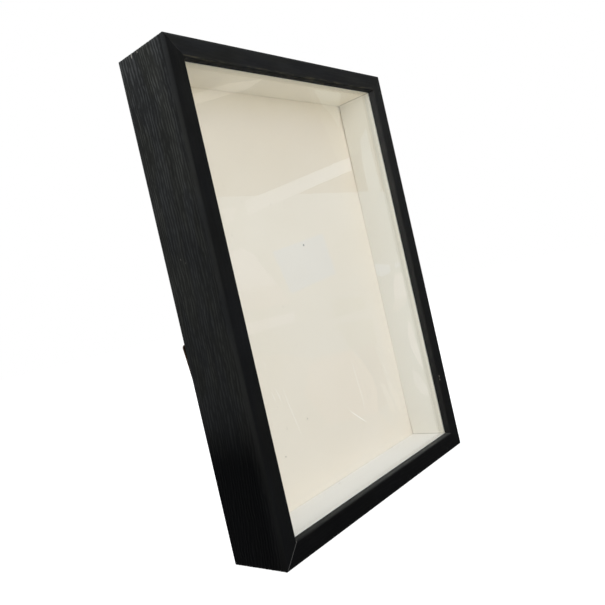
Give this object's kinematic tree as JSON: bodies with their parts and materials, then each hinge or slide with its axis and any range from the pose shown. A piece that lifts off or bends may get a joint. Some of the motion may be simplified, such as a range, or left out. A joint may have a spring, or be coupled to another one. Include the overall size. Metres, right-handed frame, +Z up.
{
  "type": "butterfly display case",
  "caption": "Deep black wood-grained shadow-box case with a glass front, pale card liners and a lift-out pinning board held by turn clips, for a pinned butterfly.",
  "frame": {"origin": "centre of the upright case's footprint, at the underside of the bottom rail", "axes": "+X to the right seen from the front, +Y from the glass to the back, +Z up along the stiles"},
  "size_m": [0.2274, 0.047, 0.314],
  "materials": {
    "black_wood": "black stained open grain, satin",
    "clear_glass": "clear, polished",
    "liner_card": "matt off-white card",
    "cream_paper": "matt cream paper",
    "white_foam": "fine closed-cell foam",
    "brown_hardboard": "smooth brown hardboard",
    "brassed_steel": "brass-plated sheet, slightly dull",
    "zinc_steel": "bright zinc plate",
    "nail_steel": "bare bright steel",
    "black_rubber": "matt black rubber"
  },
  "bodies": {
    "case": {"top_rail": "black_wood", "bottom_rail": "black_wood", "left_stile": "black_wood", "right_stile": "black_wood", "corner_v_nails": "nail_steel", "glass_pane": "clear_glass", "top_liner": "liner_card", "bottom_liner": "liner_card", "left_liner": "liner_card", "right_liner": "liner_card", "clip_screws": "zinc_steel", "sawtooth_hanger": "brassed_steel", "hanger_brads": "brassed_steel", "wall_bumpers": "black_rubber"},
    "back": {"facing_paper": "cream_paper", "pinning_board": "white_foam", "backboard": "brown_hardboard"},
    "clip_left_lower": {"clip_left_lower": "brassed_steel"},
    "clip_left_upper": {"clip_left_upper": "brassed_steel"},
    "clip_right_lower": {"clip_right_lower": "brassed_steel"},
    "clip_right_upper": {"clip_right_upper": "brassed_steel"},
    "clip_top_left": {"clip_top_left": "brassed_steel"},
    "clip_top_right": {"clip_top_right": "brassed_steel"},
    "clip_bottom_left": {"clip_bottom_left": "brassed_steel"},
    "clip_bottom_right": {"clip_bottom_right": "brassed_steel"}
  },
  "joints": [
    {"name": "back_lift_out", "type": "slide", "parent": "case", "child": "back", "axis": [0, 1, 0], "range_m": [0, 0.06]},
    {"name": "turn_left_lower", "type": "hinge", "parent": "case", "child": "clip_left_lower", "pos_m": [-0.1085, 0.02065, 0.111], "axis": [0, 1, 0], "range_deg": [0, 187.1]},
    {"name": "turn_left_upper", "type": "hinge", "parent": "case", "child": "clip_left_upper", "pos_m": [-0.1085, 0.02065, 0.203], "axis": [0, 1, 0], "range_deg": [0, 180]},
    {"name": "turn_right_lower", "type": "hinge", "parent": "case", "child": "clip_right_lower", "pos_m": [0.1085, 0.02065, 0.111], "axis": [0, -1, 0], "range_deg": [0, 180]},
    {"name": "turn_right_upper", "type": "hinge", "parent": "case", "child": "clip_right_upper", "pos_m": [0.1085, 0.02065, 0.203], "axis": [0, -1, 0], "range_deg": [0, 180]},
    {"name": "turn_top_left", "type": "hinge", "parent": "case", "child": "clip_top_left", "pos_m": [-0.06, 0.02065, 0.309], "axis": [0, -1, 0], "range_deg": [0, 180]},
    {"name": "turn_top_right", "type": "hinge", "parent": "case", "child": "clip_top_right", "pos_m": [0.06, 0.02065, 0.309], "axis": [0, 1, 0], "range_deg": [0, 180]},
    {"name": "turn_bottom_left", "type": "hinge", "parent": "case", "child": "clip_bottom_left", "pos_m": [-0.06, 0.02065, 0.005], "axis": [0, 1, 0], "range_deg": [0, 180]},
    {"name": "turn_bottom_right", "type": "hinge", "parent": "case", "child": "clip_bottom_right", "pos_m": [0.06, 0.02065, 0.005], "axis": [0, -1, 0], "range_deg": [0, 180]}
  ]
}
